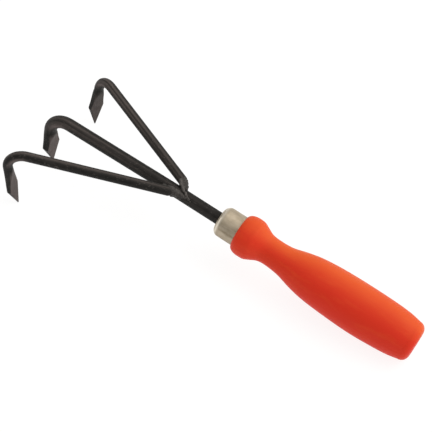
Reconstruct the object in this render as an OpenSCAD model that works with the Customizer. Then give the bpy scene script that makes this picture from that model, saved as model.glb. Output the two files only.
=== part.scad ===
// Three-tine hand cultivator: two side tines welded to a main rod whose far end is the centre tine.
// Tool frame: +X runs along the grip away from the tines, +Z is the side away from the points,
// and x = 0 is the front of the ferrule. The finished tool is then laid down on its points and grip.

/* [Main rod] */
// Diameter of the main rod
rod_d = 8; // [7:0.5:9]
// Straight reach of the rod ahead of the ferrule
centre_reach = 109; // [95:1:120]
// Radius of the centre tine's bend, to the rod's axis
centre_bend_r = 11.4; // [9:0.1:14]
// Angle that the centre tine is bent through
centre_turn = 100.5; // [94:0.5:108]
// Length of the rod that is buried in the grip
tang_l = 88; // [60:1:100]

/* [Side tines] */
// Diameter of the side tines
side_d = 6.1; // [5:0.1:7]
// Angle between the left tine and the main rod
left_fan = 25; // [18:0.1:30]
// Angle between the right tine and the main rod
right_fan = 24.1; // [18:0.1:30]
// Radius of the side tines' bends, to the rod's axis
side_bend_r = 10; // [8:0.5:13]
// Straight length of the left tine
left_reach = 88.6; // [80:0.1:95]
// Straight length of the right tine
right_reach = 82; // [76:0.1:95]
// Angle that the left tine is bent through
left_turn = 111; // [98:0.5:114]
// Angle that the right tine is bent through
right_turn = 101; // [98:0.5:114]

/* [Blades] */
// Length of the centre blade from bend to point
centre_blade_l = 24.1; // [20:0.1:30]
// Width of the centre blade at its shoulders
centre_blade_w = 13.2; // [10:0.1:15]
// Thickness of the centre blade at its shoulders
centre_blade_t = 4.9; // [3:0.1:5.5]
// Length of the left blade from bend to point
left_blade_l = 31.5; // [24:0.1:34]
// Length of the right blade from bend to point
right_blade_l = 27.9; // [24:0.1:34]
// Width of the side blades at their shoulders
side_blade_w = 10.8; // [8:0.1:12]
// Thickness of the side blades at their shoulders
side_blade_t = 3; // [2:0.1:4]

/* [Ferrule] */
// Outside diameter of the ferrule
ferrule_d = 19.4; // [16:0.1:20]
// Length of the ferrule that shows ahead of the collar
ferrule_show = 14.2; // [10:0.2:18]
// Radius of the ferrule's drawn front corner
ferrule_corner = 4.2; // [2:0.2:5]
// Thickness of the ferrule's sheet
ferrule_wall = 0.9; // [0.6:0.1:1.2]

/* [Grip] */
// Diameter of the collar behind the ferrule
collar_d = 26.6; // [23:0.1:28]
// Diameter of the waist behind the collar
waist_d = 17.7; // [16:0.1:20]
// Diameter of the swell in the palm
swell_d = 31.2; // [28:0.1:34]
// Distance from the front of the ferrule to the butt
butt_x = 138.9; // [125:0.1:150]
// Diameter of the flat on the butt
butt_flat_d = 15; // [12:0.5:22]

/* [Hidden] */

// Where the side tines are welded on, on the upper flanks of the main rod
left_root = [-32.5, -5.4, 3.6];
right_root = [-30.1, 5.7, 3.9];
// Ahead of the weld the main rod is a little thinner, and the heat has set it a little out of line
set_x = -38;
set_yaw = 0.5;
set_dip = 0.7;
set_overlap = 2;
set_thinning = 0.1;
tine_d = rod_d - set_thinning;

// Blades: the face lies this far inside the rod's axis, and the point is this long
centre_face = 2.7;
side_face = 0.45;
centre_point_l = 12.4;
side_point_l = 13.8;
// Blades' shoulders: share of the thickness that is square edge, and share of the width that is flat back
edge_share = 0.6;
back_share = 0.8;
// Blades are turned on their own axes so that they face back along the grip
left_twist = 14;
right_twist = -7.2;
// Square end of a blade's point
point_tip = 0.6;
// The press leaves each rod slightly fuller where its blade begins
forged_swell = 1.03;

// Grip, lengthwise: the collar's crest, the waist, the swell and the rounded corner of the butt
collar_crest_x = 20.8;
waist_x = 38;
swell_x = 99;
corner_x = 134;
// Ferrule's hidden skirt inside the collar
ferrule_skirt = 3;
fit_gap = 0.02;
// Lugs swaged on the tang, so that it cannot turn in the grip
lug_x = 70;
lug_l = 10;
lug_w = 11;
lug_t = 2;
// Weld beads in the hollow between each tine and the main rod, as three stations from front to back:
// distance along the rod, distance from its middle plane, height and radius
bead_stations = [[-38, 4.4, 4, 1.4], [-31, 2.9, 4.2, 2.3], [-24, 2.5, 2.8, 1.8]];
// Room that holds a whole bead on its side of the middle plane
bead_room = [40, 20, 20];
// Front end of the stretch of main rod that the tines and beads are fitted against
fitted_x = -60;

// The tool lies on its three points and on the swell of its grip
lie_roll = -2.63;
lie_tilt = 5.54;
lie_shift = [-7.116, 2.116, 26.584];

rod_r = rod_d / 2;
side_r = side_d / 2;
ferrule_r = ferrule_d / 2;
collar_r = collar_d / 2;
waist_r = waist_d / 2;
swell_r = swell_d / 2;
butt_flat_r = butt_flat_d / 2;
ferrule_corner_c = [ferrule_corner, ferrule_r - ferrule_corner];
ferrule_corner_in = ferrule_corner - ferrule_wall;
spigot_corner = ferrule_corner_in - fit_gap;
spigot_r = ferrule_r - ferrule_wall - fit_gap;
disc = 0.2;
$fn = 96;

// Radius part of the way from one named radius to another
function between(a, b, share) = a + (b - a) * share;

// Radii along the grip from the collar's crest to the corner of the butt
grip_stations = [
    [collar_crest_x, collar_r],
    [24.5, between(waist_r, collar_r, 0.94)],
    [27.7, between(waist_r, collar_r, 0.62)],
    [32.5, between(waist_r, collar_r, 0.12)],
    [waist_x, waist_r],
    [47, between(waist_r, swell_r, 0.1)],
    [56.5, between(waist_r, swell_r, 0.46)],
    [66, between(waist_r, swell_r, 0.735)],
    [80, between(waist_r, swell_r, 0.915)],
    [swell_x, swell_r],
    [116, between(waist_r, swell_r, 0.94)],
    [127, between(waist_r, swell_r, 0.815)],
    [corner_x, between(waist_r, swell_r, 0.62)]
];

// Slope of a station list at one station
function slope(p, i) =
    let (a = max(i - 1, 0), b = min(i + 1, len(p) - 1))
    (p[b][1] - p[a][1]) / (p[b][0] - p[a][0]);

// Cubic curve through the stations, at t between stations i and i + 1
function along(p, i, t) =
    let (h = p[i + 1][0] - p[i][0])
    [
        p[i][0] + h * t,
        (2 * t ^ 3 - 3 * t ^ 2 + 1) * p[i][1]
        + (t ^ 3 - 2 * t ^ 2 + t) * h * slope(p, i)
        + (3 * t ^ 2 - 2 * t ^ 3) * p[i + 1][1]
        + (t ^ 3 - t ^ 2) * h * slope(p, i + 1)
    ];

function smooth(p, steps) = [
    for (i = [0 : len(p) - 2]) for (k = [0 : steps - 1]) along(p, i, k / steps),
    p[len(p) - 1]
];

// Quarter of an ellipse about a centre, from one angle to another
function arc(c, rx, ry, from, to, steps) = [
    for (k = [0 : steps]) let (a = from + (to - from) * k / steps) c + [rx * cos(a), ry * sin(a)]
];

// Turns an outline of [x, radius] points about the X axis
module lathe(outline) {
    rotate([0, 90, 0])
        rotate_extrude()
            polygon([for (p = outline) [p[1], p[0]]]);
}

// Cylinder along X
module bar(d, from, to) {
    translate([from, 0, 0])
        rotate([0, 90, 0])
            cylinder(d = d, h = to - from);
}

// Straight end of the main rod from one place to the end of its tang, with the tang's two lugs
module tang(from, extra) {
    bar(rod_d + 2 * extra, from, tang_l + extra);
    translate([lug_x - extra, -lug_w / 2 - extra, -lug_t / 2 - extra])
        cube([lug_l + 2 * extra, lug_w + 2 * extra, lug_t + 2 * extra]);
}

// Cross-section of a blade at its shoulders: flat face, eased back
module shoulder_section(w, t, face) {
    rotate([90, 0, 90])
        linear_extrude(disc)
            polygon([
                [-w / 2, face],
                [w / 2, face],
                [w / 2, face - edge_share * t],
                [back_share * w / 2, face - t],
                [-back_share * w / 2, face - t],
                [-w / 2, face - edge_share * t]
            ]);
}

// Blade along +X from the round rod to its point, with the face towards +Z
module blade(d, l, w, t, face, point_l) {
    shoulder_x = l - point_l;
    hull() {
        translate([-disc, 0, 0])
            rotate([0, 90, 0])
                cylinder(d = d * forged_swell, h = disc, $fn = 32);
        translate([shoulder_x - disc, 0, 0])
            shoulder_section(w, t, face);
    }
    hull() {
        translate([shoulder_x - disc, 0, 0])
            shoulder_section(w, t, face);
        translate([l - point_tip, -point_tip / 2, face - point_tip])
            cube(point_tip);
    }
}

// Bend and blade at the end of a rod that runs along -X from x = 0 to x = -reach
module hooked_end(d, reach, bend_r, turn, twist, l, w, t, face, point_l) {
    translate([-reach, 0, -bend_r])
        rotate([90, 0, 0])
            rotate([0, 0, 90])
                rotate_extrude(angle = turn)
                    translate([bend_r, 0])
                        circle(d = d);
    translate([-reach - bend_r * sin(turn), 0, bend_r * (cos(turn) - 1)])
        rotate([0, 180 - turn, 0])
            rotate([twist, 0, 0])
                blade(d, l, w, t, face, point_l);
}

// Side tine in the tool frame, before it is fitted against the main rod
module side_tine(root, fan, reach, turn, twist, l) {
    translate(root)
        rotate([0, 0, fan]) {
            sphere(d = side_d);
            bar(side_d, -reach, 0);
            hooked_end(
                side_d, reach, side_bend_r, turn, twist,
                l, side_blade_w, side_blade_t, side_face, side_point_l
            );
        }
}

module left_side_tine() {
    side_tine(left_root, left_fan, left_reach, left_turn, left_twist, left_blade_l);
}

module right_side_tine() {
    side_tine(right_root, -right_fan, right_reach, right_turn, right_twist, right_blade_l);
}

// Main rod's round surface, which the tines and beads are fitted against
module fitted_surface() {
    bar(rod_d, fitted_x, 0);
}

// Bead on one side of the main rod, hand 1 for the right and -1 for the left
module bead(hand) {
    intersection() {
        hull()
            for (s = bead_stations)
                translate([s[0], hand * s[1], s[2]])
                    sphere(r = s[3], $fn = 32);
        translate([bead_stations[0][0] - bead_room[0] / 4, min(hand, 0) * bead_room[1], -bead_room[2] / 2])
            cube(bead_room);
    }
}

// Lays the tool down on its points and grip, with the origin below its middle
module laid_down() {
    translate(lie_shift)
        rotate([0, lie_tilt, 0])
            rotate([lie_roll, 0, 0])
                children();
}

// Moulded grip: spigot under the ferrule, collar, waist, swell and flat butt
module grip() {
    nose = arc([collar_crest_x, ferrule_r], collar_crest_x - ferrule_show, collar_r - ferrule_r, 180, 90, 8);
    corner_r = grip_stations[len(grip_stations) - 1][1];
    corner = arc([corner_x, butt_flat_r], butt_x - corner_x, corner_r - butt_flat_r, 90, 0, 8);
    outline = concat(
        [[ferrule_wall + fit_gap, 0]],
        arc(ferrule_corner_c, spigot_corner, spigot_corner, 180, 90, 6),
        [[ferrule_show + ferrule_skirt, spigot_r]],
        [[ferrule_show + ferrule_skirt, ferrule_r + fit_gap], [ferrule_show, ferrule_r + fit_gap]],
        [for (i = [1 : len(nose) - 2]) nose[i]],
        smooth(grip_stations, 5),
        [for (i = [1 : len(corner) - 1]) corner[i]],
        [[butt_x, 0]]
    );
    color("orangered")
        difference() {
            lathe(outline);
            tang(0, fit_gap);
        }
}

// Drawn steel cup over the grip's spigot, pierced for the main rod
module ferrule() {
    outline = concat(
        [[0, rod_r + fit_gap]],
        arc(ferrule_corner_c, ferrule_corner, ferrule_corner, 180, 90, 12),
        [[ferrule_show + ferrule_skirt - fit_gap, ferrule_r]],
        [[ferrule_show + ferrule_skirt - fit_gap, ferrule_r - ferrule_wall]],
        arc(ferrule_corner_c, ferrule_corner_in, ferrule_corner_in, 90, 180, 12),
        [[ferrule_wall, rod_r + fit_gap]]
    );
    color("silver")
        lathe(outline);
}

// One rod: tang, shank and centre tine
module main_rod() {
    color([0.2, 0.2, 0.2]) {
        tang(set_x, 0);
        translate([set_x, 0, 0])
            rotate([0, -set_dip, set_yaw]) {
                bar(tine_d, -centre_reach - set_x, set_overlap);
                hooked_end(
                    tine_d, centre_reach + set_x, centre_bend_r, centre_turn, 0,
                    centre_blade_l, centre_blade_w, centre_blade_t, centre_face, centre_point_l
                );
            }
    }
}

module left_tine() {
    color([0.24, 0.24, 0.24])
        difference() {
            left_side_tine();
            fitted_surface();
        }
}

module right_tine() {
    color([0.24, 0.24, 0.24])
        difference() {
            right_side_tine();
            fitted_surface();
        }
}

module left_weld() {
    color([0.32, 0.32, 0.32])
        difference() {
            bead(-1);
            fitted_surface();
            left_side_tine();
        }
}

module right_weld() {
    color([0.32, 0.32, 0.32])
        difference() {
            bead(1);
            fitted_surface();
            right_side_tine();
        }
}

laid_down() grip();
laid_down() ferrule();
laid_down() main_rod();
laid_down() left_tine();
laid_down() right_tine();
laid_down() left_weld();
laid_down() right_weld();
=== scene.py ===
import math
import random

import bpy
from mathutils import Matrix, Vector, noise


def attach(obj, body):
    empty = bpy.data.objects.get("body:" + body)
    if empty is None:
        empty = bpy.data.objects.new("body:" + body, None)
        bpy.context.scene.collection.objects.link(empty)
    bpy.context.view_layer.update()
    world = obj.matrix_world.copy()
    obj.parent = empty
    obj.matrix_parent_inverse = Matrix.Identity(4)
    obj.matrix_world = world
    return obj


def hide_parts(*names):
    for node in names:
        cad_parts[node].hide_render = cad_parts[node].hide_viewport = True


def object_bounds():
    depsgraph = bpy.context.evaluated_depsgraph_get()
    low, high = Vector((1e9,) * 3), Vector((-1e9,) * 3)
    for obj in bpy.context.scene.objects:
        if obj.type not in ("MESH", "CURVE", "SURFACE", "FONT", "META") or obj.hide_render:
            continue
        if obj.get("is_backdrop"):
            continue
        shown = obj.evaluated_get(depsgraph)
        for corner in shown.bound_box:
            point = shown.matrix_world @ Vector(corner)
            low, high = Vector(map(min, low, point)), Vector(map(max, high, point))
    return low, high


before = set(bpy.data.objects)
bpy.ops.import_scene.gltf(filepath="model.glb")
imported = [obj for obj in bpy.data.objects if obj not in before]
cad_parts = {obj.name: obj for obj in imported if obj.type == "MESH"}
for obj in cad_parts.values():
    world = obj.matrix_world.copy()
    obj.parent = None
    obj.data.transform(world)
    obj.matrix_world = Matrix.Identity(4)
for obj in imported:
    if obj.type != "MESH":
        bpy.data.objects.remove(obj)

cad_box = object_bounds()

# Sizes are in millimetres in the tool frame: +X runs along the grip to the butt, +Z is the side away
# from the points, and x = 0 is the front of the ferrule. TOOL turns them into metres in the row frame.
# Angles round the tool are in degrees from +Y towards +Z.
MM = 0.001
LIE_ROLL = -2.63
LIE_TILT = 5.54
LIE_SHIFT = Vector((-7.116, 2.116, 26.584))
TURN_DOWN = Matrix.Rotation(math.radians(LIE_TILT), 4, "Y") @ Matrix.Rotation(math.radians(LIE_ROLL), 4, "X")
TOOL = Matrix.Translation(LIE_SHIFT * MM) @ TURN_DOWN @ Matrix.Scale(MM, 4)

# Rods
ROD_R = 4.0
TINE_R = 3.95
SIDE_R = 3.05
SET_X = -38.0
SET_YAW = 0.5
SET_DIP = 0.7

# Ferrule
FERRULE_R = 9.7
FERRULE_SHOW = 14.2
FERRULE_CORNER = 4.2
FERRULE_WALL = 0.9
FERRULE_SKIRT = 2.9
DRAWN_WAVE = 0.07
DRAWN_RELIEF = (2.5, 2, 15, 3)  # where it starts, the length of its rise, where it stops, and of its fall
DARK_REFLECTION_AND_SHADE = ((165, 5, 0.7), (205, 12, 0.3))  # angle, width and strength of a painted dark reflection line and of a painted shade cloud on the lower side
CORNER_HIGHLIGHT, CORNER_HIGHLIGHT_X, CORNER_HIGHLIGHT_LENGTH = 0.7, 1.9, 0.9  # the corner all round: a painted highlight in its colour, and polished smoother

# Grip
COLLAR_X, COLLAR_R = 20.8, 13.3
WAIST_R = 8.85
SWELL_R = 15.6
CORNER_X, BUTT_X, BUTT_FLAT_R = 134.0, 138.9, 7.5
SEAM_HEIGHT = 0.07
SHRINKAGE = 0.05
SKIN_INSET = 0.09  # keeps the seam and the unevenness inside the CAD outline
GRIP_RELIEF = (16, 4, BUTT_X - 0.3, 3)  # as for the ferrule
LIT_SIDE = (0.7645, 0.6446)  # across and up: the lit side, painted a lighter orange as painted light
FRONT_PAINTED_LIGHT, FRONT_PAINTED_LIGHT_X, FRONT_PAINTED_LIGHT_RUN = 0.14, 70, 35  # and a little of that painted light on the shaded side too, by the collar
BOW_START, BOW_RUN = 34, 14
BOW, EXTRA_BOW = 0.42, 0.33
EXTRA_BOW_X, EXTRA_BOW_LENGTH = 100, 15
GRIP_STATIONS = [  # distance along the grip, share of the way from the waist's radius to the swell's
    (38, 0), (47, 0.1), (56.5, 0.46), (66, 0.735), (80, 0.915),
    (99, 1), (116, 0.94), (127, 0.815), (CORNER_X, 0.62),
]
COLLAR_STATIONS = [  # distance along the grip, share of the way from the waist's radius to the collar's
    (COLLAR_X, 1), (24.5, 0.94), (27.7, 0.62), (32.5, 0.12),
]


# ---------------------------------------------------------------- mesh helpers

def between(a, b, share):
    return a + (b - a) * share


def smoothstep(t):
    t = min(1.0, max(0.0, t))
    return t * t * (3 - 2 * t)


def within(x, start, rise, stop, fall):
    """1 between start and stop, rising from 0 after start and falling back to 0 before stop."""
    return smoothstep((x - start) / rise) * smoothstep((stop - x) / fall)


def band(angle, middle, width):
    """1 at the middle angle, falling away smoothly over the width, all in degrees."""
    apart = (angle - middle + 180) % 360 - 180
    return math.exp(-(apart / width) ** 2)


def new_piece(name, points, lay, faces, marks, material, node):
    """A smooth mesh made in the tool frame, riding in place of a CAD node.
    lay holds each point's (across, inward, along) in mm, so that grain follows a rod round its bend.
    marks are further values at each point that the material reads, by name."""
    mesh = bpy.data.meshes.new(name)
    mesh.from_pydata([TOOL @ Vector(p) for p in points], [], faces)
    mesh.polygons.foreach_set("use_smooth", [True] * len(mesh.polygons))
    laid = mesh.attributes.new("lay", "FLOAT_VECTOR", "POINT")
    laid.data.foreach_set("vector", [c for v in lay for c in v])
    for mark, values in marks.items():
        attribute = mesh.attributes.new(mark, "FLOAT", "POINT")
        attribute.data.foreach_set("value", values)
    mesh.materials.append(material)
    mesh.update()
    piece = bpy.data.objects.new(name, mesh)
    bpy.context.scene.collection.objects.link(piece)
    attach(piece, "root")
    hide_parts(node)
    return piece


def keep_flats_flat(piece):
    weighted = piece.modifiers.new("flat_faces", "WEIGHTED_NORMAL")
    weighted.mode = "FACE_AREA"
    weighted.weight = 90
    weighted.keep_sharp = True


def ring_quads(first, second, size):
    """Quads between two rings of the same size, by their places in the row of rings."""
    quads = []
    for k in range(size):
        n = (k + 1) % size
        quads.append((first * size + k, first * size + n, second * size + n, second * size + k))
    return quads


def solid_faces(rings, size):
    """Skin of a row of rings with flat ends."""
    faces = [quad for i in range(rings - 1) for quad in ring_quads(i, i + 1, size)]
    faces.append(tuple(reversed(range(size))))
    faces.append(tuple((rings - 1) * size + k for k in range(size)))
    return faces


def hollow_faces(rings, size):
    """Skin of a row of rings whose last joins its first, such as a sheet cup."""
    return [quad for i in range(rings) for quad in ring_quads(i, (i + 1) % rings, size)]


# ---------------------------------------------------------------- materials

# Colour sockets of a Mix node, by number, because its sockets for other kinds have the same names
MIX_COLOURS = (6, 7)
MIX_RESULT = 2


class Shader:
    """A Principled material whose patterns are read in the lay coordinates of a piece, in mm."""

    def __init__(self, name):
        self.material = bpy.data.materials.new(name)
        self.material.use_nodes = True
        self.tree = self.material.node_tree
        self.tree.nodes.clear()
        self.surface = self.add("ShaderNodeBsdfPrincipled")
        out = self.add("ShaderNodeOutputMaterial")
        self.link(self.surface.outputs["BSDF"], out.inputs["Surface"])
        self.lay = self.attribute("lay", "Vector")

    def add(self, kind, **settings):
        node = self.tree.nodes.new(kind)
        for key, value in settings.items():
            setattr(node, key, value)
        return node

    def link(self, a, b):
        self.tree.links.new(a, b)

    def attribute(self, name, output="Fac"):
        return self.add("ShaderNodeAttribute", attribute_name=name).outputs[output]

    def stretched(self, scale, shift):
        mapping = self.add("ShaderNodeMapping")
        mapping.inputs["Scale"].default_value = scale
        mapping.inputs["Location"].default_value = shift
        self.link(self.lay, mapping.inputs["Vector"])
        return mapping.outputs["Vector"]

    def noise(self, scale, detail, rough, shift=(0, 0, 0), distortion=0.0):
        """Noise with features about 1 / scale mm across, one scale for each of across, inward and along."""
        texture = self.add("ShaderNodeTexNoise")
        texture.inputs["Scale"].default_value = 1.0
        texture.inputs["Detail"].default_value = detail
        texture.inputs["Roughness"].default_value = rough
        texture.inputs["Distortion"].default_value = distortion
        self.link(self.stretched(scale, shift), texture.inputs["Vector"])
        return texture.outputs["Fac"]

    def map_range(self, value, side, low, high):
        node = self.add("ShaderNodeMapRange", clamp=True)
        node.inputs[side + " Min"].default_value = low
        node.inputs[side + " Max"].default_value = high
        self.link(value, node.inputs["Value"])
        return node.outputs["Result"]

    def ramp(self, value, low, high):
        """Value from low to high stretched to 0 to 1."""
        return self.map_range(value, "From", low, high)

    def spread(self, value, low, high):
        """Value from 0 to 1 spread over low to high."""
        return self.map_range(value, "To", low, high)

    def maths(self, operation, a, b):
        node = self.add("ShaderNodeMath", operation=operation)
        self.link(a, node.inputs[0])
        self.link(b, node.inputs[1])
        return node.outputs["Value"]

    def mix(self, share, a, b):
        """From a to b, each a colour or the output of a node."""
        node = self.add("ShaderNodeMix", data_type="RGBA")
        self.link(share, node.inputs["Factor"])
        for socket, x in zip(MIX_COLOURS, (a, b)):
            if isinstance(x, tuple):
                node.inputs[socket].default_value = (*x, 1)
            else:
                self.link(x, node.inputs[socket])
        return node.outputs[MIX_RESULT]

    def bump(self, height, depth_mm, below=None):
        node = self.add("ShaderNodeBump")
        node.inputs["Strength"].default_value = 1.0
        node.inputs["Distance"].default_value = depth_mm * MM
        self.link(height, node.inputs["Height"])
        if below is not None:
            self.link(below, node.inputs["Normal"])
        return node.outputs["Normal"]

    def finish(self, colour, roughness, normal):
        self.link(colour, self.surface.inputs["Base Color"])
        self.link(roughness, self.surface.inputs["Roughness"])
        self.link(normal, self.surface.inputs["Normal"])
        return self.material


ORANGE_RED, PAINTED_LIT_ORANGE = (0.70, 0.035, 0.015), (0.73, 0.108, 0.022)
CLOUD_RED, FLOW_ORANGE = (0.68, 0.038, 0.014), (0.78, 0.115, 0.026)


def grip_plastic():
    """Moulded orange plastic: painted a lighter orange on its lit side as painted light, with faint flow
    marks, a satin skin and scuffs.
    """
    s = Shader("grip_plastic")
    s.surface.inputs["Specular IOR Level"].default_value = 0.09
    cloudy = s.noise((0.06, 0.06, 0.03), 3, 0.5)
    flow = s.noise((0.22, 0.22, 0.04), 4, 0.6, (3, 1, 7))
    # painted light: a lighter orange on the lit side of the grip
    painted_lit_side = s.attribute("painted_lit_side")
    base = s.mix(painted_lit_side, ORANGE_RED, PAINTED_LIT_ORANGE)
    tinted = s.mix(s.spread(s.ramp(cloudy, 0.35, 0.7), 0, 0.4), base, CLOUD_RED)
    colour = s.mix(s.spread(s.ramp(flow, 0.52, 0.76), 0, 0.22), tinted, FLOW_ORANGE)
    satin = s.noise((2.4, 2.4, 2.4), 3, 0.6)
    scuffs = s.ramp(s.noise((1.6, 1.6, 0.12), 5, 0.65, (11, 5, 2), 0.6), 0.66, 0.74)
    roughness = s.maths("ADD", s.spread(s.ramp(cloudy, 0.3, 0.7), 0.42, 0.5), s.spread(scuffs, 0, 0.1))
    fine = s.bump(satin, 0.05)
    return s.finish(colour, roughness, s.bump(scuffs, 0.03, fine))


PLATE, DIM_PLATE, BRUSHED_PLATE = (0.48, 0.41, 0.31), (0.37, 0.31, 0.225), (0.54, 0.475, 0.38)
HIGHLIGHT_PLATE, PAINTED_DARK_PLATE = (0.86, 0.79, 0.67), (0.20, 0.15, 0.095)


def plated_steel():
    """Plated sheet: warm and dull, lightly brushed by the die, with a painted highlight round the corner,
    which is also polished, and a painted dark reflection and painted shade below.
    """
    s = Shader("plated_steel")
    s.surface.inputs["Metallic"].default_value = 1.0
    drawn = s.noise((1.5, 1.5, 0.05), 6, 0.65)
    blotchy = s.noise((0.28, 0.28, 0.2), 4, 0.55, (4, 9, 1))
    speckle = s.noise((1.2, 1.2, 0.9), 4, 0.6, (6, 2, 3))
    dull = s.mix(s.ramp(blotchy, 0.35, 0.72), PLATE, DIM_PLATE)
    brushed = s.mix(s.spread(s.ramp(drawn, 0.4, 0.75), 0, 0.5), dull, BRUSHED_PLATE)
    # painted highlight: a paler colour round the front corner; the same mark also lowers the roughness there
    highlighted = s.mix(s.attribute("polish_and_highlight"), brushed, HIGHLIGHT_PLATE)
    # painted reflection and shade: a dark line and a darker cloud low on the ferrule, broken up by speckle
    darkened = s.maths("MULTIPLY", s.attribute("painted_dark"), s.spread(s.ramp(speckle, 0.3, 0.6), 0.5, 1.0))
    colour = s.mix(darkened, highlighted, PAINTED_DARK_PLATE)
    satin = s.maths("ADD", s.spread(s.ramp(blotchy, 0.3, 0.75), 0.50, 0.62), s.spread(drawn, -0.05, 0.07))
    roughness = s.maths("SUBTRACT", satin, s.spread(s.attribute("polish_and_highlight"), 0, 0.2))
    lines = s.bump(drawn, 0.04)
    return s.finish(colour, roughness, s.bump(speckle, 0.03, lines))


LACQUER, THIN_LACQUER = (0.012, 0.0115, 0.0105), (0.022, 0.0205, 0.019)
DIE_LINE, PAINTED_SHEEN_GREY = (0.065, 0.055, 0.050), (0.135, 0.112, 0.103)
RUBBED_STEEL, SPECK = (0.125, 0.100, 0.094), (0.150, 0.130, 0.120)


def black_steel():
    """Thin black lacquer on bar: paler die lines, painted highlight streaks along the rods, fine specks, and
    brown-grey where it is rubbed thin.
    """
    s = Shader("black_steel")
    s.surface.inputs["Specular IOR Level"].default_value = 0.09
    lines = s.noise((1.1, 1.1, 0.018), 6, 0.6)
    mottle = s.noise((0.35, 0.35, 0.22), 5, 0.6, (2, 7, 5))
    grit = s.noise((2.6, 2.6, 2.2), 4, 0.65, (9, 3, 1))
    rubbed = s.attribute("rubbed")
    # painted highlight: paler streaks along the rods at set angles round them
    painted_sheen = s.maths("MULTIPLY", s.attribute("painted_sheen"), s.spread(s.ramp(lines, 0.3, 0.6), 0.45, 1.0))
    black = s.mix(s.ramp(mottle, 0.35, 0.7), LACQUER, THIN_LACQUER)
    lined = s.mix(s.spread(s.ramp(lines, 0.52, 0.72), 0, 0.4), black, DIE_LINE)
    sheen_painted = s.mix(painted_sheen, lined, PAINTED_SHEEN_GREY)
    patchy = s.maths("MULTIPLY", rubbed, s.spread(s.ramp(mottle, 0.2, 0.6), 0.6, 1.0))
    worn = s.mix(patchy, sheen_painted, RUBBED_STEEL)
    specks = s.ramp(s.noise((0.85, 0.85, 0.5), 3, 0.7, (8, 4, 6)), 0.58, 0.72)
    colour = s.mix(s.spread(specks, 0, 0.4), worn, SPECK)
    roughness = s.maths("ADD", s.spread(s.ramp(mottle, 0.3, 0.7), 0.42, 0.54), s.spread(rubbed, 0, 0.1))
    drawn = s.bump(lines, 0.06)
    return s.finish(colour, roughness, s.bump(grit, 0.05, drawn))


DARK_WELD, PALE_WELD = (0.017, 0.0155, 0.014), (0.043, 0.038, 0.034)
WELD_HIGHLIGHT, WELD_SPECK = (0.150, 0.134, 0.124), (0.210, 0.190, 0.175)


def weld_steel():
    """Weld metal under the same lacquer: coarse and scaly, with a painted highlight on its crests and upward
    faces.
    """
    s = Shader("weld_steel")
    s.surface.inputs["Specular IOR Level"].default_value = 0.25
    scale = s.noise((1.1, 1.1, 1.1), 5, 0.65)
    grit = s.noise((4, 4, 4), 4, 0.6, (5, 1, 3))
    # painted highlight on the crests and upward faces, broken up by grit
    crest = s.attribute("crest")
    base = s.mix(s.ramp(scale, 0.35, 0.65), DARK_WELD, PALE_WELD)
    colour = s.mix(s.maths("MULTIPLY", crest, s.spread(grit, 0.3, 1.0)), base, WELD_HIGHLIGHT)
    specks = s.ramp(s.noise((1.0, 1.0, 1.0), 3, 0.7, (2, 8, 4)), 0.58, 0.7)
    scaly = s.mix(s.spread(specks, 0, 0.55), colour, WELD_SPECK)
    roughness = s.spread(s.ramp(scale, 0.3, 0.7), 0.45, 0.62)
    coarse = s.bump(scale, 0.25)
    return s.finish(scaly, roughness, s.bump(grit, 0.08, coarse))


# ---------------------------------------------------------------- lathed parts

LATHE_SIDES = 160


def hermite(stations, steps):
    """Smooth curve through stations of (x, radius)."""
    points = []
    last = len(stations) - 1

    def slope(i):
        a, b = stations[max(i - 1, 0)], stations[min(i + 1, last)]
        return (b[1] - a[1]) / (b[0] - a[0])

    for i in range(last):
        (x0, r0), (x1, r1) = stations[i], stations[i + 1]
        h = x1 - x0
        for k in range(steps):
            t = k / steps
            radius = (
                (2 * t ** 3 - 3 * t ** 2 + 1) * r0 + (t ** 3 - 2 * t ** 2 + t) * h * slope(i)
                + (3 * t ** 2 - 2 * t ** 3) * r1 + (t ** 3 - t ** 2) * h * slope(i + 1)
            )
            points.append((x0 + h * t, radius))
    return points + [stations[-1]]


def arc(centre, rx, ry, start, end, steps):
    """Part of an ellipse in (x, radius), from one angle to another in degrees."""
    points = []
    for k in range(steps + 1):
        a = math.radians(start + (end - start) * k / steps)
        points.append((centre[0] + rx * math.cos(a), centre[1] + ry * math.sin(a)))
    return points


def lathe(outline, relief):
    """Points and lay of an outline of (x, radius) turned about the X axis. relief is what stands proud."""
    points, lay = [], []
    for x, radius in outline:
        for k in range(LATHE_SIDES):
            a = 2 * math.pi * k / LATHE_SIDES
            r = radius + relief(x, radius, a)
            y, z = r * math.cos(a), r * math.sin(a)
            points.append((x, y, z))
            lay.append((y, z, x))
    return points, lay


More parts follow.
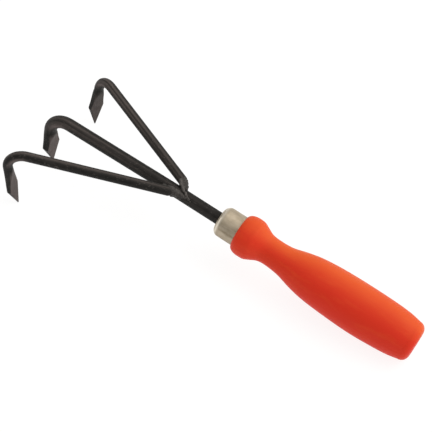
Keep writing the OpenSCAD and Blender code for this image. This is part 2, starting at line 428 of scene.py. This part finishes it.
def make_grip(material):
    stations = [(x, between(WAIST_R, COLLAR_R, share)) for x, share in COLLAR_STATIONS]
    stations += [(x, between(WAIST_R, SWELL_R, share)) for x, share in GRIP_STATIONS]
    corner_r = stations[-1][1]
    lip_r = FERRULE_R + 0.06
    nose = arc((COLLAR_X, lip_r), COLLAR_X - FERRULE_SHOW, COLLAR_R - lip_r, 180, 90, 20)
    corner = arc((CORNER_X, BUTT_FLAT_R), BUTT_X - CORNER_X, corner_r - BUTT_FLAT_R, 90, 0, 20)
    lip = [(FERRULE_SHOW + 1.6, FERRULE_R - 0.3), (FERRULE_SHOW + 0.5, lip_r)]
    butt = [(BUTT_X, BUTT_FLAT_R * share) for share in (0.97, 0.7, 0.35, 0.03)]
    outline = lip + nose[1:-1] + hermite(stations, 10) + corner[1:] + butt

    def moulding(x, radius, a):
        """Seam of the mould on both sides, slow unevenness from shrinkage, and a slight bow to the left."""
        seam = SEAM_HEIGHT * math.exp(-4 * abs(radius * math.sin(a)))
        uneven = SHRINKAGE * noise.noise(Vector((x * 0.05, 2 * math.cos(a), 2 * math.sin(a))))
        extra = EXTRA_BOW * math.exp(-((x - EXTRA_BOW_X) / EXTRA_BOW_LENGTH) ** 2)
        bow = smoothstep((x - BOW_START) / BOW_RUN) * (BOW + extra)
        relief = (seam + uneven - SKIN_INSET) * within(x, *GRIP_RELIEF)
        return relief - bow * math.cos(a) * smoothstep(radius / 5)

    points, lay = lathe(outline, moulding)
    faces = solid_faces(len(outline), LATHE_SIDES)
    # painted light: the lit side, and a little of the shaded side by the collar, is marked for a lighter
    # orange
    painted_lit_side = []
    for x, y, z in points:
        r = max(math.hypot(y, z), BUTT_FLAT_R)
        lightward = (LIT_SIDE[0] * y + LIT_SIDE[1] * z) / r
        shaded_front = smoothstep((FRONT_PAINTED_LIGHT_X - x) / FRONT_PAINTED_LIGHT_RUN) * (1 - lightward) / 2
        painted_lit_side.append(smoothstep((lightward + 0.15) / 1.1) + FRONT_PAINTED_LIGHT * shaded_front)
    new_piece("grip_moulding", points, lay, faces, {"painted_lit_side": painted_lit_side}, material, "grip")


def make_ferrule(material):
    hole_r = ROD_R + 0.12
    centre = (FERRULE_CORNER, FERRULE_R - FERRULE_CORNER)
    inner = FERRULE_CORNER - FERRULE_WALL
    skirt_x = FERRULE_SHOW + FERRULE_SKIRT
    lip = ((1.1, 0.25), (0.55, 0.04), (0.3, 0), (0.12, 0.08), (0.01, 0.3))
    outline = [(x, hole_r + wider) for x, wider in lip]
    outline += arc(centre, FERRULE_CORNER, FERRULE_CORNER, 180, 90, 28)
    outline += [(x, FERRULE_R) for x in (5, 7, 9, 11, 13, 14.2, 15)]
    outline += [(skirt_x, FERRULE_R - 0.32), (skirt_x, FERRULE_R - FERRULE_WALL)]
    outline += arc(centre, inner, inner, 90, 180, 8)

    def drawn(x, radius, a):
        """Sheet that is not quite even after drawing, behind its rounded front."""
        if radius <= FERRULE_R - 2 * FERRULE_WALL:
            return 0.0
        wave = noise.noise(Vector((x * 0.12, 1.6 * math.cos(a), 1.6 * math.sin(a) + 5)))
        return DRAWN_WAVE * wave * within(x, *DRAWN_RELIEF)

    points, lay = lathe(outline, drawn)
    faces = hollow_faces(len(outline), LATHE_SIDES)
    painted_dark, polish_and_highlight = [], []
    for x, y, z in points:
        turn = math.degrees(math.atan2(z, y)) % 360
        # painted dark reflection line, and painted shade on the lower side
        line, cloud = (power * band(turn, middle, width) for middle, width, power in DARK_REFLECTION_AND_SHADE)
        painted_dark.append(line * smoothstep((x - 2) / 4) + cloud)
        # painted highlight round the corner, which is also polished smoother
        polish_and_highlight.append(CORNER_HIGHLIGHT * math.exp(-((x - CORNER_HIGHLIGHT_X) / CORNER_HIGHLIGHT_LENGTH) ** 2))
    marks = {"painted_dark": painted_dark, "polish_and_highlight": polish_and_highlight}
    new_piece("ferrule_cup", points, lay, faces, marks, material, "ferrule")


# ---------------------------------------------------------------- rods and blades

CORNER_STEPS = 9


def outline_of(half_w, face, back, face_r, back_r):
    """Closed outline of a bar's section in (across, inward). A round bar has its radius for every size."""
    corners = [
        (half_w - face_r, face - face_r, face_r, 0),
        (face_r - half_w, face - face_r, face_r, 90),
        (back_r - half_w, back + back_r, back_r, 180),
        (half_w - back_r, back + back_r, back_r, 270),
    ]
    points = []
    for across, inward, r, start in corners:
        for k in range(CORNER_STEPS):
            a = math.radians(start + 90 * (k + 0.5) / CORNER_STEPS)
            points.append((across + r * math.cos(a), inward + r * math.sin(a)))
    return points


FRONT_EDGE_R = 0.3
BACK_EASED = 0.4  # radius of the back edges, as a share of the thickness
TUCK = 0.29  # how far a corner pulls in while it turns from round to sharp, as a share of the rod's radius
FLARE_STEPS = 16
TIP_HALF_W, TIP_THICK = 0.3, 0.6
POINT_SHARES = (0.0, 0.02, 0.12, 0.25, 0.4, 0.55, 0.7, 0.82, 0.9, 0.95, 0.985)


def blade_stations(r, twist, blade):
    """Sections down a blade that flares and flattens from a round rod to its shoulders, then narrows to a
    V point: (distance, half width, face, back, front edge radius, back edge radius, wear, twist)."""
    shoulder = blade["length"] - blade["point"]
    half_w, thick, face = blade["width"] / 2, blade["thickness"], blade["face"]
    eased = BACK_EASED * thick
    stations = []
    for k in range(FLARE_STEPS + 1):
        u = k / FLARE_STEPS * (1 - 0.35 / shoulder)
        edge = smoothstep(u * 1.5)
        tuck = TUCK * r * (edge - u)
        w, f = between(r, half_w, u) - tuck, between(r, face, u) - tuck
        b = between(-r, face - thick, u)
        full = min(w, (f - b) / 2)
        fr, br = between(full, FRONT_EDGE_R, edge), between(full, eased, u)
        stations.append((u * shoulder, w, f, b, fr, br, smoothstep(u * 3), twist * smoothstep(u * 1.3)))
    for share in POINT_SHARES:
        w = between(half_w, TIP_HALF_W, share)
        b = face - between(thick, TIP_THICK, share)
        limit = 0.45 * min(2 * w, face - b)
        fr, br = min(FRONT_EDGE_R, limit), min(eased, limit)
        stations.append((shoulder + blade["point"] * share, w, face, b, fr, br, 1.0, twist))
    end = (TIP_HALF_W * 0.55, face - 0.1, face - 0.45, 0.1, 0.1, 1.0, twist)
    return stations + [(blade["length"] - 0.03, *end)]


DOWN = Vector((0, 0, -1))
ROOT_STEPS, BEND_STEPS = 7, 26
# strength of the painted highlight streaks on a rounded root
ROOT_SHEEN = 0.3


class Rod:
    """Rings of a rod as it goes from its root, round its bend and out to the point of its blade.
    Its bands are painted highlight streaks along it, as (angle from across towards the back, width,
    strength)."""

    def __init__(self, place, radius, sheen_bands):
        self.place, self.radius, self.sheen_bands = place, radius, sheen_bands
        self.points, self.lay, self.rubbed, self.painted_sheen = [], [], [], []
        self.rings = 0
        self.along = 0.0
        self.last = None

    def ring(self, centre, inward, outline, sheen_painted, rubbed=lambda across, inward: 0.0, twist=0.0):
        """Adds a ring. inward is the side the rod bends to, and the strength after the outline is that of
        its painted highlight bands there.
        """
        across = Vector((0, 1, 0))
        c, s = math.cos(twist), math.sin(twist)
        turned_across = across * c + inward * s
        turned_inward = inward * c - across * s
        middle = self.place @ Vector(centre)
        if self.last is not None:
            self.along += (middle - self.last).length
        self.last = middle
        for a, i in outline:
            self.points.append(self.place @ (Vector(centre) + turned_across * a + turned_inward * i))
            self.lay.append((a, i, self.along))
            self.rubbed.append(rubbed(a, i))
            # painted highlight streaks at set angles round the rod
            turn = math.degrees(math.atan2(-i, a))
            self.painted_sheen.append(sheen_painted * sum(power * band(turn, m, w) for m, w, power in self.sheen_bands))
        self.rings += 1

    def round_section(self, radius):
        return outline_of(radius, radius, -radius, radius, radius)

    def round_end(self, x):
        """Rounded root, closing towards +X."""
        for k in range(ROOT_STEPS):
            a = math.radians(90 * (1 - (k + 0.35) / ROOT_STEPS))
            section = self.round_section(self.radius * math.cos(a))
            self.ring((x + self.radius * math.sin(a), 0, 0), DOWN, section, ROOT_SHEEN)

    def straight(self, start, end, steps, sheen_ends):
        """Round bar along X, with the strengths of its painted highlight bands at its start and end."""
        for k in range(steps):
            share = k / steps
            centre = (between(start, end, share), 0, 0)
            sheen_painted = between(sheen_ends[0], sheen_ends[1], smoothstep(share))
            self.ring(centre, DOWN, self.round_section(self.radius), sheen_painted)

    def bend(self, reach, bend_r, turn):
        """The turn down, with a rubbed patch on its left side."""
        r = self.radius
        for k in range(BEND_STEPS):
            share = k / BEND_STEPS
            t = math.radians(turn * share)
            centre = (-reach - bend_r * math.sin(t), 0, bend_r * (math.cos(t) - 1))
            patch = math.sin(math.pi * min(1, 0.1 + share))

            def rubbed(across, depth, patch=patch):
                return patch * smoothstep(0.2 - across / r) * smoothstep(1 - abs(depth / r - 0.15) * 1.4)

            inward = Vector((math.sin(t), 0, -math.cos(t)))
            self.ring(centre, inward, self.round_section(r), 1 - 0.7 * share, rubbed)

    def blade(self, reach, bend_r, turn, twist, blade):
        t = math.radians(turn)
        root = Vector((-reach - bend_r * math.sin(t), 0, bend_r * (math.cos(t) - 1)))
        travel = Vector((-math.cos(t), 0, -math.sin(t)))
        inward = Vector((math.sin(t), 0, -math.cos(t)))
        for along, w, f, b, fr, br, worn, turned in blade_stations(self.radius, twist, blade):
            def rubbed(_across, depth, worn=worn, f=f, fr=fr):
                return blade["rubbed"] * worn * smoothstep((depth - f + fr) / (0.6 * fr))

            section = outline_of(w, f, b, fr, br)
            self.ring(root + travel * along, inward, section, 0.3 * (1 - worn), rubbed, turned)

    def piece(self, name, material, node):
        marks = {"rubbed": self.rubbed, "painted_sheen": self.painted_sheen}
        faces = solid_faces(self.rings, 4 * CORNER_STEPS)
        keep_flats_flat(
            new_piece(name, self.points, self.lay, faces, marks, material, node)
        )


CENTRE = {"reach": 109.0, "bend_r": 11.4, "turn": 100.5}
CENTRE_BLADE = {"length": 24.1, "width": 13.2, "thickness": 4.9, "face": 2.7, "point": 12.4, "rubbed": 0.72}
LEFT = {"root": (-32.5, -5.4, 3.6), "fan": 25.0, "reach": 88.6, "bend_r": 10.0, "turn": 111.0, "twist": 14.0}
LEFT_BLADE = {"length": 31.5, "width": 10.8, "thickness": 3.0, "face": 0.45, "point": 13.8, "rubbed": 0.68}
RIGHT = {"root": (-30.1, 5.7, 3.9), "fan": -24.1, "reach": 82, "bend_r": 10.0, "turn": 101.0, "twist": -7.2}
RIGHT_BLADE = {"length": 27.9, "width": 10.8, "thickness": 3.0, "face": 0.45, "point": 13.8, "rubbed": 0.42}
# painted highlight streaks along each rod, as (angle, width, strength)
CENTRE_SHEEN_BANDS = ((108, 13, 0.58), (151, 12, 0.58))
LEFT_SHEEN_BANDS = ((93, 18, 0.62),)
RIGHT_SHEEN_BANDS = ((104, 13, 0.95), (146, 14, 0.95))
ROOT_TRIM = -2.4  # each side tine's round root stops short, inside its weld


def make_main_rod(material):
    """Shank and centre tine in one rod, a little thinner and a little out of line ahead of the weld."""
    rod = Rod(Matrix.Identity(4), ROD_R, CENTRE_SHEEN_BANDS)
    rod.straight(2.5, SET_X + 3, 22, (0.15, 0.3))
    rod.radius = TINE_R
    rod.place = (
        Matrix.Translation((SET_X, 0, 0))
        @ Matrix.Rotation(math.radians(SET_YAW), 4, "Z")
        @ Matrix.Rotation(math.radians(-SET_DIP), 4, "Y")
    )
    reach = CENTRE["reach"] + SET_X
    rod.straight(-3, -reach, 30, (0.3, 1.0))
    rod.bend(reach, CENTRE["bend_r"], CENTRE["turn"])
    rod.blade(reach, CENTRE["bend_r"], CENTRE["turn"], 0.0, CENTRE_BLADE)
    rod.piece("shank_and_centre_tine", material, "main_rod")


def make_side_tine(name, tine, sheen_bands, blade, material, node):
    place = Matrix.Translation(tine["root"]) @ Matrix.Rotation(math.radians(tine["fan"]), 4, "Z")
    rod = Rod(place, SIDE_R, sheen_bands)
    rod.round_end(ROOT_TRIM)
    rod.straight(ROOT_TRIM, -tine["reach"], 40, (0.5, 1.0))
    rod.bend(tine["reach"], tine["bend_r"], tine["turn"])
    rod.blade(tine["reach"], tine["bend_r"], tine["turn"], math.radians(tine["twist"]), blade)
    rod.piece(name, material, node)


# ---------------------------------------------------------------- welds

WELD_VOXEL = 0.28
RIPPLE = 1.15
WOBBLE = 0.25
RIPPLE_SIZES = (0.88, 1.12)
ROUGHNESS = ((0.9, 0.22), (2.3, 0.1))  # frequency per mm and height in mm
OFF_RIDGE_HIGHLIGHT = 0.15  # strength of the painted highlight on the skin away from the last run, as a share


def bead_path(stops, step):
    """Points every step mm or so along a line through the stops of (x, y, z, radius)."""
    found = []
    for a, b in zip(stops, stops[1:]):
        a, b = Vector(a), Vector(b)
        count = max(1, round((b.xyz - a.xyz).length / step))
        found += [a.lerp(b, k / count) for k in range(count)]
    return found + [Vector(stops[-1])]


def lump(points, faces, centre, radii):
    """Adds a squashed ball to a mesh that is about to be fused."""
    sides, levels = 16, 9
    start = len(points)
    for i in range(levels):
        polar = math.pi * (i + 0.5) / levels
        for k in range(sides):
            a = 2 * math.pi * k / sides
            points.append((
                centre[0] + radii[0] * math.sin(polar) * math.cos(a),
                centre[1] + radii[1] * math.sin(polar) * math.sin(a),
                centre[2] + radii[2] * math.cos(polar),
            ))
    for i in range(levels - 1):
        for k in range(sides):
            n = (k + 1) % sides
            faces.append((start + i * sides + k, start + (i + 1) * sides + k,
                          start + (i + 1) * sides + n, start + i * sides + n))
    faces.append(tuple(start + k for k in range(sides)))
    faces.append(tuple(start + (levels - 1) * sides + k for k in reversed(range(sides))))


def fused(points, faces):
    """The lumps as one skin, in mm: a voxel remesh and a light smoothing, with the result applied."""
    mesh = bpy.data.meshes.new("weld_lumps")
    mesh.from_pydata(points, [], faces)
    holder = bpy.data.objects.new("weld_lumps", mesh)
    bpy.context.scene.collection.objects.link(holder)
    remesh = holder.modifiers.new("fuse", "REMESH")
    remesh.mode = "VOXEL"
    remesh.voxel_size = WELD_VOXEL
    soften = holder.modifiers.new("soften", "SMOOTH")
    soften.factor = 0.5
    soften.iterations = 3
    graph = bpy.context.evaluated_depsgraph_get()
    skin = bpy.data.meshes.new_from_object(holder.evaluated_get(graph), depsgraph=graph)
    new_points = [v.co.copy() for v in skin.vertices]
    normals = [v.normal.copy() for v in skin.vertices]
    new_faces = [tuple(p.vertices) for p in skin.polygons]
    bpy.data.objects.remove(holder)
    bpy.data.meshes.remove(mesh)
    bpy.data.meshes.remove(skin)
    return new_points, normals, new_faces


def make_weld(name, seed, runs, highlight_strength, material, node):
    """Hand-run beads: overlapping ripples along each run, fused and roughened. A painted highlight is
    strongest along the last run.
    """
    shake = random.Random(seed)
    ridge = bead_path(runs[-1], RIPPLE)
    points, faces = [], []
    for stop in [stop for run in runs for stop in bead_path(run, RIPPLE)]:
        wobble = [shake.uniform(-WOBBLE, WOBBLE) for _ in range(3)]
        r = stop[3] * shake.uniform(*RIPPLE_SIZES)
        centre = [stop[i] + wobble[i] for i in range(3)]
        lump(points, faces, centre, (r * 0.75, r, r * 0.95))
    points, normals, faces = fused(points, faces)
    crest, shaped = [], []
    for p, n in zip(points, normals):
        rough = sum(noise.noise(p * frequency) * height for frequency, height in ROUGHNESS)
        shaped.append(p + n * rough)
        # painted highlight: strongest by the last run's ridge, on raised skin and on skin that faces up
        near_ridge = smoothstep(2.4 - 1.2 * min((p - stop.xyz).length / stop[3] for stop in ridge))
        raised_and_upward = smoothstep(0.2 + 1.2 * rough + 0.55 * n.z)
        crest.append(highlight_strength * between(OFF_RIDGE_HIGHLIGHT, 1, near_ridge) * raised_and_upward)
    lay = [(p.y, p.z, p.x) for p in shaped]
    new_piece(name, shaped, lay, faces, {"crest": crest}, material, node)


# Stops of (x, y, z, radius) along each run of weld
LEFT_RUNS = [
    [(-32.8, -5.2, 2.7, 2.1), (-30.8, -4.6, 1.8, 1.95), (-28.8, -4.1, 1.1, 1.65), (-26.5, -3.6, 0.8, 1.2)],
    [
        (-38.8, -5.6, 4.2, 1.2), (-37.0, -5.2, 4.4, 1.6), (-34.8, -5.1, 4.4, 2.15), (-32.3, -5.2, 3.7, 2.8),
        (-30.2, -4.4, 3.5, 2.5), (-28.0, -3.6, 3.2, 2.0), (-25.5, -3.1, 2.8, 1.4), (-24.0, -2.9, 2.7, 1.1),
    ],
]
RIGHT_RUNS = [
    [
        (-35.6, 8.15, 3.95, 2.75), (-33.4, 7.25, 4.0, 2.85), (-31.6, 6.4, 4.0, 2.9), (-30.2, 5.6, 3.8, 2.85),
        (-29.0, 4.7, 3.4, 2.75), (-27.9, 3.8, 2.8, 2.4), (-27.0, 2.9, 2.0, 1.8),
    ],
    [
        (-32.9, 4.2, 5.7, 1.1), (-30.5, 2.1, 4.8, 1.35), (-27.8, 0.3, 4.3, 1.25),
        (-25.5, -1.2, 4.0, 1.1), (-23.4, -2.2, 3.55, 0.95), (-21.4, -2.9, 3.0, 0.85),
        (-20.2, -3.2, 2.65, 0.7),
    ],
]


# ---------------------------------------------------------------- studio

# The camera's directions are in the tool frame
CAMERA_RIGHT = Vector((0.83348, 0.49253, 0.25046))
CAMERA_UP = Vector((-0.53193, 0.59253, 0.60495))
CAMERA_BACK = Vector((0.14955, -0.63744, 0.75585))
CAMERA_DISTANCE = 1127.7
CAMERA_LENS = 156.6
CAMERA_ASIDE = (-2.28, 1.73)


def make_camera():
    """Long lens above the left side of the tool."""
    turn = TURN_DOWN.to_3x3()
    columns = [turn @ v for v in (CAMERA_RIGHT, CAMERA_UP, CAMERA_BACK)]
    rotation = Matrix(columns).transposed().to_4x4()
    spot = CAMERA_BACK * CAMERA_DISTANCE + CAMERA_RIGHT * CAMERA_ASIDE[0] + CAMERA_UP * CAMERA_ASIDE[1]
    data = bpy.data.cameras.new("camera")
    data.lens = CAMERA_LENS
    data.sensor_width = 36
    data.clip_start = 0.05
    data.clip_end = 20
    camera = bpy.data.objects.new("camera", data)
    bpy.context.scene.collection.objects.link(camera)
    camera.matrix_world = Matrix.Translation(TOOL @ spot) @ rotation
    bpy.context.scene.camera = camera


FLOOR_SIZE = 6.0
FLOOR_DROP = 0.0001
FLOOR_GREY, FLOOR_GLOW = 0.18, 0.86


def make_floor():
    """Pale paper that glows a little, so that shadows on it stay faint."""
    corners = [(x * FLOOR_SIZE, y * FLOOR_SIZE, 0) for x, y in ((-1, -1), (1, -1), (1, 1), (-1, 1))]
    mesh = bpy.data.meshes.new("floor")
    mesh.from_pydata(corners, [], [(0, 1, 2, 3)])
    floor = bpy.data.objects.new("floor", mesh)
    floor.location.z = -FLOOR_DROP
    bpy.context.scene.collection.objects.link(floor)
    paper = bpy.data.materials.new("floor_paper")
    paper.use_nodes = True
    surface = paper.node_tree.nodes["Principled BSDF"]
    surface.inputs["Base Color"].default_value = (FLOOR_GREY, FLOOR_GREY, FLOOR_GREY, 1)
    surface.inputs["Roughness"].default_value = 0.9
    surface.inputs["Specular IOR Level"].default_value = 0.1
    surface.inputs["Emission Color"].default_value = (1, 1, 1, 1)
    surface.inputs["Emission Strength"].default_value = FLOOR_GLOW
    mesh.materials.append(paper)
    floor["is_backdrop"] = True


LIT_POINT = Vector((0, 0, 0.02))


def area_light(name, spot, size, power, colour):
    """Soft rectangular light aimed at the tool. Places and sizes are in metres."""
    data = bpy.data.lights.new(name, "AREA")
    data.shape = "RECTANGLE"
    data.size, data.size_y = size
    data.energy = power
    data.color = colour
    light = bpy.data.objects.new(name, data)
    bpy.context.scene.collection.objects.link(light)
    light.location = spot
    light.rotation_mode = "QUATERNION"
    light.rotation_quaternion = (Vector(spot) - LIT_POINT).to_track_quat("Z", "Y")


SKY_AXIS = Vector((0.42, 0.38, 0.82)).normalized()
SKY_DIM, SKY_BRIGHT = 0.15, 1.05
SKY_FROM, SKY_TO = -0.5, 0.9  # how far along the axis it brightens
SKY_WHITE = (1.0, 0.985, 0.96, 1)


def make_sky():
    """Large soft surround, brighter above and behind the grip and dimmer low on the left."""
    world = bpy.data.worlds.new("studio")
    world.use_nodes = True
    tree = world.node_tree
    background = tree.nodes["Background"]
    background.inputs["Color"].default_value = SKY_WHITE
    direction = tree.nodes.new("ShaderNodeTexCoord")
    facing = tree.nodes.new("ShaderNodeVectorMath")
    facing.operation = "DOT_PRODUCT"
    facing.inputs[1].default_value = SKY_AXIS
    strength = tree.nodes.new("ShaderNodeMapRange")
    strength.interpolation_type = "SMOOTHSTEP"
    strength.inputs["From Min"].default_value = SKY_FROM
    strength.inputs["From Max"].default_value = SKY_TO
    strength.inputs["To Min"].default_value = SKY_DIM
    strength.inputs["To Max"].default_value = SKY_BRIGHT
    tree.links.new(direction.outputs["Generated"], facing.inputs[0])
    tree.links.new(facing.outputs["Value"], strength.inputs["Value"])
    tree.links.new(strength.outputs["Result"], background.inputs["Strength"])
    bpy.context.scene.world = world


def make_lights():
    area_light("key", spot=(0.75, 0.65, 1.2), size=(1.2, 1.2), power=8.0, colour=(1.0, 0.965, 0.91))
    area_light("front", spot=(-1.3, -0.25, 0.3), size=(0.5, 0.4), power=2.0, colour=(1.0, 0.99, 0.97))
    make_sky()


def main():
    bpy.context.scene.view_settings.view_transform = "Standard"
    make_camera()
    make_floor()
    make_lights()
    black = black_steel()
    weld = weld_steel()
    make_grip(grip_plastic())
    make_ferrule(plated_steel())
    make_main_rod(black)
    make_side_tine("left_tine_rod", LEFT, LEFT_SHEEN_BANDS, LEFT_BLADE, black, "left_tine")
    make_side_tine("right_tine_rod", RIGHT, RIGHT_SHEEN_BANDS, RIGHT_BLADE, black, "right_tine")
    make_weld("left_weld_bead", 3, LEFT_RUNS, 0.3, weld, "left_weld")
    make_weld("right_weld_bead", 8, RIGHT_RUNS, 0.75, weld, "right_weld")
    [[list(corner) for corner in box] for box in (cad_box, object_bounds())]


main()
